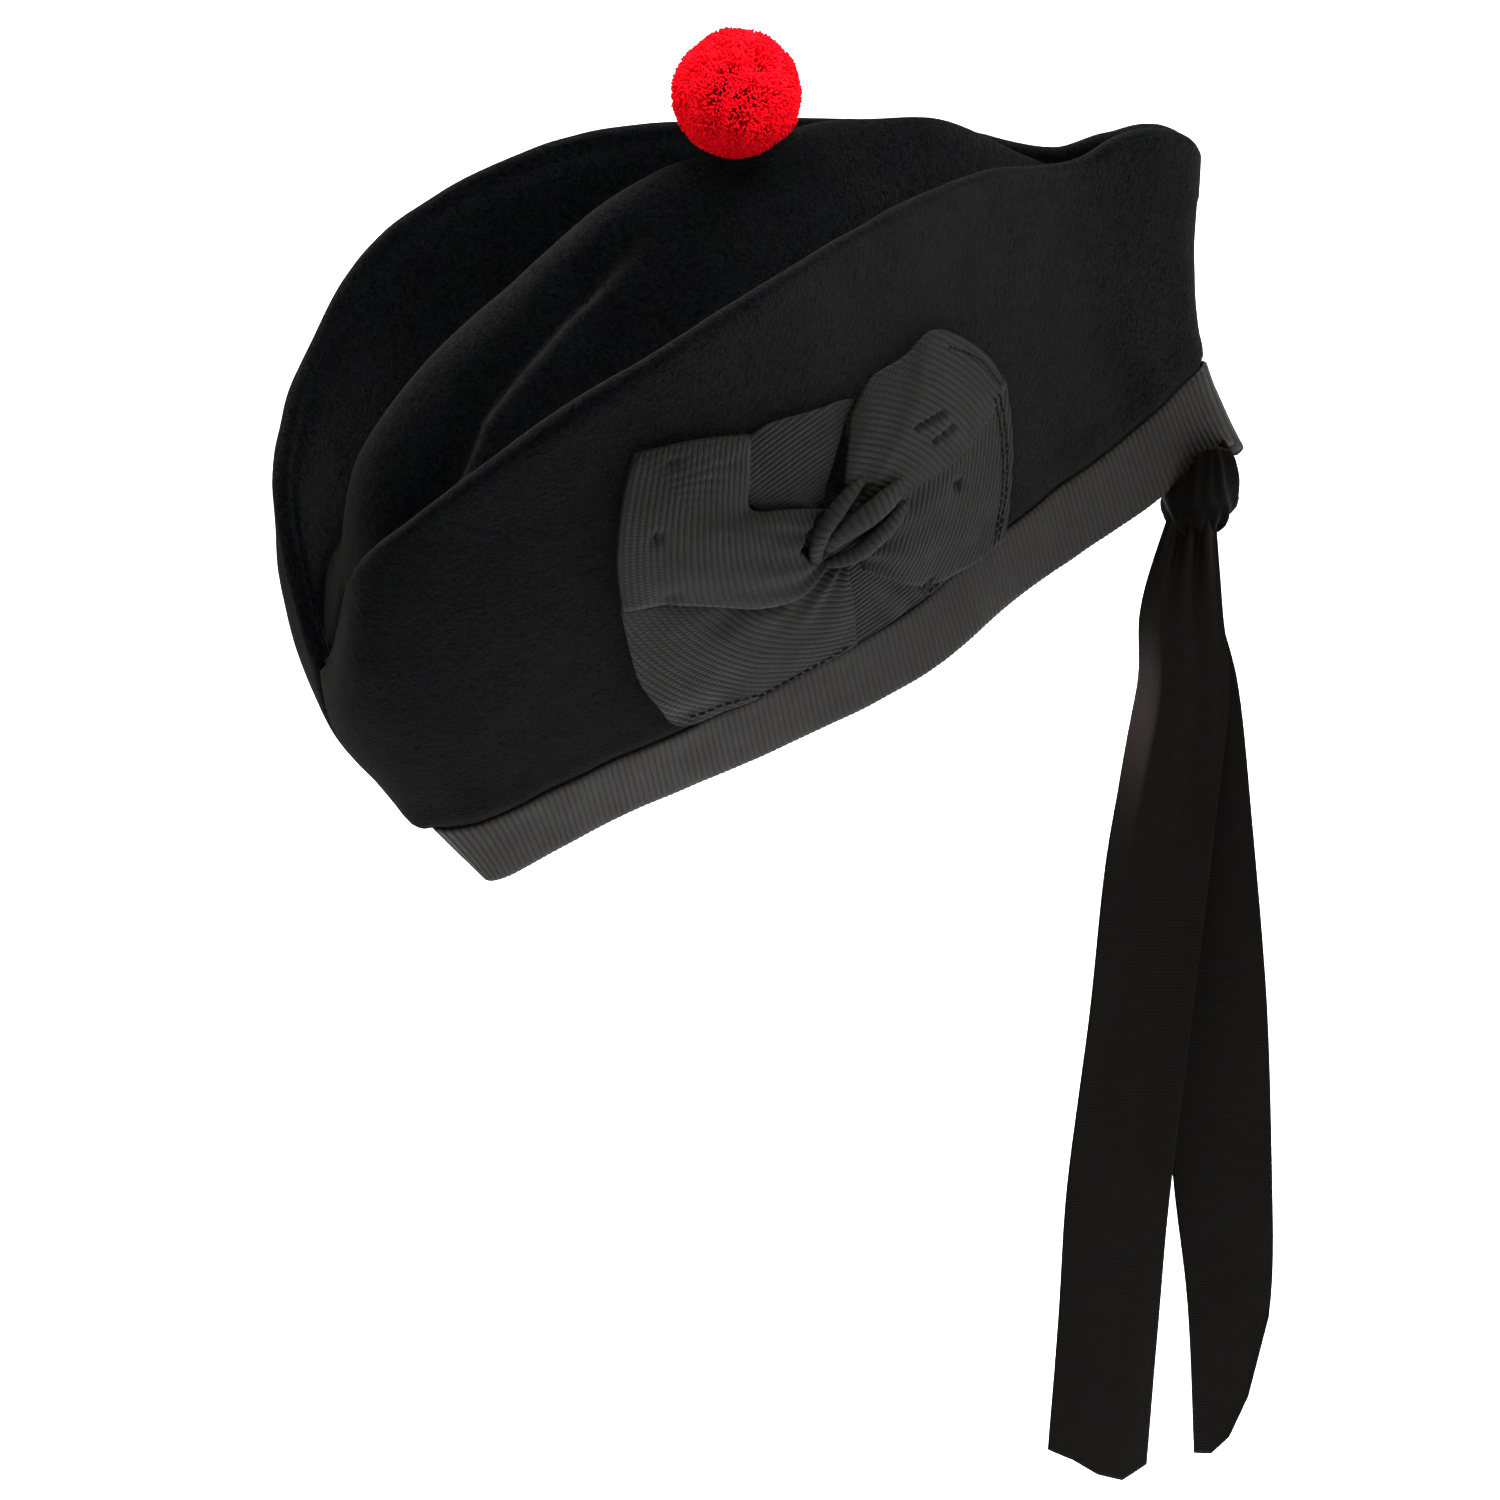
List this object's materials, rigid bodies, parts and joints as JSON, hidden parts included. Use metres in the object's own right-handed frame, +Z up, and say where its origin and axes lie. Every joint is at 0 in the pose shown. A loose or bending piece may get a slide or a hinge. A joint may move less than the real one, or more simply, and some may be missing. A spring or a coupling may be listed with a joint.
{
  "type": "glengarry hat",
  "caption": "Boat-shaped felted wool hat with a grosgrain band, ribbon cockade, wool pompom and hanging ribbon tails behind.",
  "frame": {"origin": "middle of the head opening at the lower edge, where a head holds the hat", "axes": "-Y is the front, +X the wearer's left with the cockade, +Z up; the hat is tipped 18 degrees nose down and its tails hang plumb"},
  "size_m": [0.139, 0.316, 0.5166],
  "materials": {
    "felt": "matt felted wool with a short nap",
    "grosgrain": "ribbed satin ribbon",
    "black_ribbon": "fine ribbed ribbon",
    "red_wool": "cut wool pile"
  },
  "bodies": {
    "root": {"wool_body": "felt", "rim_binding": "grosgrain", "cockade_base": "grosgrain", "cockade_front_loop": "grosgrain", "cockade_rear_loop": "grosgrain", "cockade_upper_loop": "grosgrain", "cockade_knot": "grosgrain", "tourie": "red_wool", "tie_knot": "black_ribbon", "tail_left": "black_ribbon", "tail_right": "black_ribbon"}
  },
  "joints": []
}
